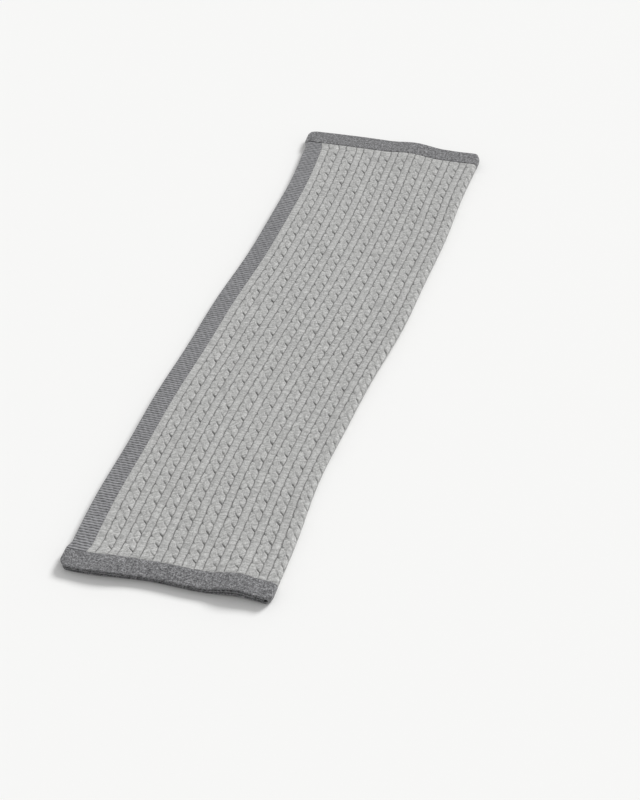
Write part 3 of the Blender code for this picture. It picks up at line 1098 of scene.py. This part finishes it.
@dataclass(frozen=True)
class MelangeWool:
    """Brushed wool-blend yarn spun from lighter and darker fibres, knitted into V-shaped stitches.

    To the eye it is soft and matt, with a faint bloom where it turns away, and full of flecks.
    """

    name: str
    light: str
    dark: str

    # Shares of the tone that the legs of the stitches, the flecks and the streaks along the yarn make up.
    # Wool fibres are about 0.02 mm thick, too fine to show, so the flecks are drawn 1.3 mm or more across.
    leg_share: float = 0.25
    fleck: float = 4.0 * MM
    fleck_share: float = 0.25
    fine_fleck: float = 1.3 * MM
    fine_share: float = 0.15
    fleck_detail: float = 2.0
    streak_wales: float = 4.0
    streak_rows: float = 1.3
    streak_share: float = 0.35
    rareness: float = 1.0

    # How far the stitches stand up and how many rows they slant by, and the fuzz on them.
    stitch_height: float = 0.7 * MM
    stitch_lean: float = 1.3
    fuzz_height: float = 0.35 * MM
    fuzz_detail: float = 4.0
    roughness: float = 0.95
    specular: float = 0.15
    sheen: float = 0.25
    sheen_roughness: float = 0.6

    def build(self) -> bpy.types.Material:
        """Make the material.

        Returns:
            The material, which reads a piece's stitches map and painted shade attribute.
        """
        graph = NodeGraph(self.name)
        stitches = graph.add("ShaderNodeUVMap", {}, uv_map="stitches")
        split = graph.add("ShaderNodeSeparateXYZ", {"Vector": stitches})
        wale, row = split.outputs["X"], split.outputs["Y"]
        place = graph.add("ShaderNodeTexCoord", {}).outputs["Object"]

        # Each stitch is two plump legs that meet in a V.
        across = graph.add(MATH, {0: wale}, operation="FRACT")
        from_middle = graph.add(MATH, {0: across, 1: 0.5}, operation="SUBTRACT")
        off_middle = graph.add(MATH, {0: from_middle}, operation="ABSOLUTE")
        lean = graph.add(MATH, {0: off_middle, 1: self.stitch_lean}, operation="MULTIPLY")
        slanted = graph.add(MATH, {0: row, 1: lean}, operation="SUBTRACT")
        along = graph.add(MATH, {0: slanted}, operation="FRACT")
        swellings = []
        for part, turn in ((off_middle, math.tau), (along, math.pi)):
            angle = graph.add(MATH, {0: part, 1: turn}, operation="MULTIPLY")
            sine = graph.add(MATH, {0: angle}, operation="SINE")
            swellings.append(graph.add(MATH, {0: sine}, operation="SQRT"))
        leg = graph.add(MATH, dict(enumerate(swellings)), operation="MULTIPLY")
        stitch_bump = graph.add("ShaderNodeBump", {"Height": leg, "Distance": self.stitch_height})
        inputs = {"Vector": place, "Scale": 1.0 / self.fine_fleck, "Detail": self.fuzz_detail}
        fuzz = graph.add("ShaderNodeTexNoise", inputs)
        inputs = {"Height": fuzz, "Distance": self.fuzz_height, "Normal": stitch_bump}
        bump = graph.add("ShaderNodeBump", inputs)

        # Every leg has its own share of light fibres. Flecks lie across legs, and streaks run with them.
        doubled = graph.add(MATH, {0: wale, 1: 2.0}, operation="MULTIPLY")
        column = graph.add(MATH, {0: doubled}, operation="FLOOR")
        level = graph.add(MATH, {0: slanted}, operation="FLOOR")
        own_leg = graph.add("ShaderNodeCombineXYZ", {"X": column, "Y": level})
        own = graph.add("ShaderNodeTexWhiteNoise", {"Vector": own_leg}, noise_dimensions="2D")
        tone = graph.add(MATH, {0: own, 1: self.leg_share}, operation="MULTIPLY")
        streak_x = graph.add(MATH, {0: wale, 1: self.streak_wales}, operation="DIVIDE")
        streak_y = graph.add(MATH, {0: row, 1: self.streak_rows}, operation="DIVIDE")
        streak = graph.add("ShaderNodeCombineXYZ", {"X": streak_x, "Y": streak_y})
        for where, scale, dimensions, share in (
            (place, 1.0 / self.fleck, "3D", self.fleck_share),
            (place, 1.0 / self.fine_fleck, "3D", self.fine_share),
            (streak, 1.0, "2D", self.streak_share),
        ):
            inputs = {"Vector": where, "Scale": scale, "Detail": self.fleck_detail}
            noise = graph.add("ShaderNodeTexNoise", inputs, noise_dimensions=dimensions)
            inputs = {"Value": noise, "From Min": NOISE_LOW, "From Max": NOISE_HIGH, "To Max": share}
            part = graph.add("ShaderNodeMapRange", inputs)
            tone = graph.add(MATH, {0: tone, 1: part}, operation="ADD")

        # The rarer the light fibres are, the more the flecks stand out as light ones.
        tone = graph.add(MATH, {0: tone, 1: self.rareness}, operation="POWER")

        # The mix node has inputs of one name for each kind of value, so its colours go by number.
        inputs = {"Factor": tone, 6: linear(self.dark), 7: linear(self.light)}
        mixed = graph.add("ShaderNodeMix", inputs, data_type="RGBA")
        # Painted shade: the colour is darkened by the piece's painted shade, in grooves, notches, ribs and
        # valleys.
        painted_shade = graph.add("ShaderNodeAttribute", {}, attribute_name="painted_shade").outputs["Fac"]
        shade = graph.add(MATH, {0: 1.0, 1: painted_shade}, operation="SUBTRACT")
        shaded = graph.add("ShaderNodeVectorMath", {0: mixed.outputs[2], "Scale": shade}, operation="SCALE")
        inputs = {
            "Base Color": shaded,
            "Roughness": self.roughness,
            "Specular IOR Level": self.specular,
            "Sheen Weight": self.sheen,
            "Sheen Roughness": self.sheen_roughness,
            "Normal": bump,
        }
        surface = graph.add("ShaderNodeBsdfPrincipled", inputs)
        graph.add("ShaderNodeOutputMaterial", {"Surface": surface})
        return graph.material


@dataclass(frozen=True)
class MattPaint:
    """Rolled matt paint, which gives an even, pale surface without gloss."""

    name: str
    colour: str
    roughness: float = 0.9
    specular: float = 0.1

    def build(self) -> bpy.types.Material:
        """Make the material.

        Returns:
            The material.
        """
        graph = NodeGraph(self.name)
        inputs = {
            "Base Color": linear(self.colour),
            "Roughness": self.roughness,
            "Specular IOR Level": self.specular,
        }
        surface = graph.add("ShaderNodeBsdfPrincipled", inputs)
        graph.add("ShaderNodeOutputMaterial", {"Surface": surface})
        return graph.material


@dataclass(frozen=True)
class Throw:
    """The whole folded throw: its five knitted pieces, where they lie and what they are made of."""

    lie: Lie
    pale: MelangeWool
    ridged: MelangeWool
    jersey: MelangeWool

    def make_pieces(self) -> dict[str, bpy.types.Object]:
        """Build and dress the five pieces.

        Returns:
            Their objects, by the names of the solids that they replace.
        """
        lie, fold = self.lie, self.lie.fold
        pale, ridged, jersey = self.pale.build(), self.ridged.build(), self.jersey.build()
        return {
            "cable_field": CableField(fold).build(lie, pale),
            "side_band_outer": SideBand(fold, LongEdge.OUTER).build(lie, ridged),
            "side_band_inner": SideBand(fold, LongEdge.INNER).build(lie, ridged),
            "end_band_near": EndBand(fold, Hem.NEAR).build(lie, jersey),
            "end_band_far": EndBand(fold, Hem.FAR).build(lie, jersey),
        }

    def flat_size(self, node: str) -> tuple[float, float]:
        """Work out how large a piece was cut.

        Args:
            node: the name of the solid that it replaces.

        Returns:
            Its width and length before it was folded.
        """
        cloth = self.lie.fold.cloth
        inner_length = cloth.length - 2 * cloth.end_band
        if node == "cable_field":
            return cloth.width - 2 * cloth.side_band, inner_length
        if node.startswith("side_band"):
            return cloth.side_band, inner_length
        return cloth.width, cloth.end_band

    def build(self) -> None:
        """Build and place every piece, and hide the solid that each one replaces."""
        pieces = self.make_pieces()
        self.stand_on_origin(list(pieces.values()))
        for node, piece in pieces.items():
            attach(piece, "root")
            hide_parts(node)
            self.flat_size(node)
            LOG.info("%s: %d faces", piece.name, len(piece.data.polygons))

    def stand_on_origin(self, pieces: list[bpy.types.Object]) -> None:
        """Move all pieces together to the middle of the solids' box, with the lowest point on its floor.

        Args:
            pieces: the pieces' objects.
        """
        points = []
        for piece in pieces:
            flat = np.empty(len(piece.data.vertices) * 3)
            piece.data.vertices.foreach_get("co", flat)
            points.append(flat.reshape(-1, 3))
        everything = np.concatenate(points)
        low, high = everything.min(axis=0), everything.max(axis=0)
        solid_low, solid_high = (np.array(corner) for corner in CAD_BOX)
        move = (solid_low + solid_high - low - high) / 2
        move[2] = solid_low[2] - low[2]
        for piece, places in zip(pieces, points):
            piece.data.vertices.foreach_set("co", (places + move).ravel())
            piece.data.update()


@dataclass(frozen=True)
class Studio:
    """The pale floor, the soft light and the camera."""

    floor_side: float = 160.0
    floor_paint: MattPaint = MattPaint("matt_floor_paint", "f4f4f3")
    world_colour: str = "ffffff"
    world_strength: float = 0.56

    # The wide key light: where it comes from, its strength, and its spread in degrees.
    key_from: tuple[float, float, float] = (0.40, 0.75, 0.62)
    key_strength: float = 2.5
    key_spread: float = 22.0

    # The camera: its angles in degrees, its distance and lens, and the point that it looks at.
    azimuth: float = 14.8
    elevation: float = 38.5
    distance: float = 5.0
    lens: float = 102.8
    aim: tuple[float, float, float] = (0.111, -0.188, 0.0)

    def build(self) -> None:
        """Build the floor, light and camera."""
        self.build_floor()
        self.build_world()
        self.add_key_light()
        self.add_camera()
        bpy.context.scene.view_settings.view_transform = "Standard"

    def build_floor(self) -> None:
        """Build the painted floor."""
        bpy.ops.mesh.primitive_plane_add(size=self.floor_side)
        floor = bpy.context.object
        floor.name = "floor"
        floor.data.materials.append(self.floor_paint.build())

    def build_world(self) -> None:
        """Set the even light from all round."""
        world = bpy.data.worlds.new("soft_light")
        world.use_nodes = True
        background = world.node_tree.nodes["Background"]
        background.inputs["Color"].default_value = linear(self.world_colour)
        background.inputs["Strength"].default_value = self.world_strength
        bpy.context.scene.world = world

    def add_key_light(self) -> None:
        """Add the wide, distant light that comes over the far end of the throw."""
        data = bpy.data.lights.new("key_light", "SUN")
        data.energy = self.key_strength
        data.angle = math.radians(self.key_spread)
        light = bpy.data.objects.new("key_light", data)
        light.location = self.key_from
        light.rotation_euler = (-Vector(self.key_from)).to_track_quat("-Z", "Y").to_euler()
        bpy.context.scene.collection.objects.link(light)

    def add_camera(self) -> None:
        """Add the camera that looks down at the throw from near one end."""
        data = bpy.data.cameras.new("camera")
        data.lens = self.lens
        camera = bpy.data.objects.new("camera", data)
        turn, rise = math.radians(self.azimuth), math.radians(self.elevation)
        back = Vector((math.sin(turn) * math.cos(rise), -math.cos(turn) * math.cos(rise), math.sin(rise)))
        camera.location = Vector(self.aim) + back * self.distance
        camera.rotation_euler = (-back).to_track_quat("-Z", "Y").to_euler()
        bpy.context.scene.collection.objects.link(camera)
        bpy.context.scene.camera = camera


def main() -> None:
    """Build the throw and its studio."""
    logging.basicConfig(level=logging.INFO, format="%(message)s")
    lie = Lie(Fold(Cloth()))

    # Softly spun and full, so the cables look pale and downy, with mid grey flecks.
    pale = MelangeWool("pale_melange_wool_cable_knit", light="eaeae8", dark="828281")

    # The same yarn in a darker mix. Its ridges catch the light; their valleys have real and painted shade.
    ridged = MelangeWool("grey_melange_wool_ridge_knit", light="c6c6c9", dark="78787b")

    # Flat jersey of mostly dark fibres, on which the light ones stand out as a fine salt-and-pepper grain.
    jersey = MelangeWool(
        "grey_melange_wool_jersey",
        light="b8b8ba",
        dark="343436",
        fleck=5.0 * MM,
        fleck_share=0.40,
        fine_fleck=2.8 * MM,
        fine_share=0.50,
        leg_share=0.10,
        rareness=1.8,
        streak_share=0.0,
        stitch_height=0.4 * MM,
    )

    Throw(lie, pale, ridged, jersey).build()
    Studio().build()


if __name__ == "__main__":
    main()
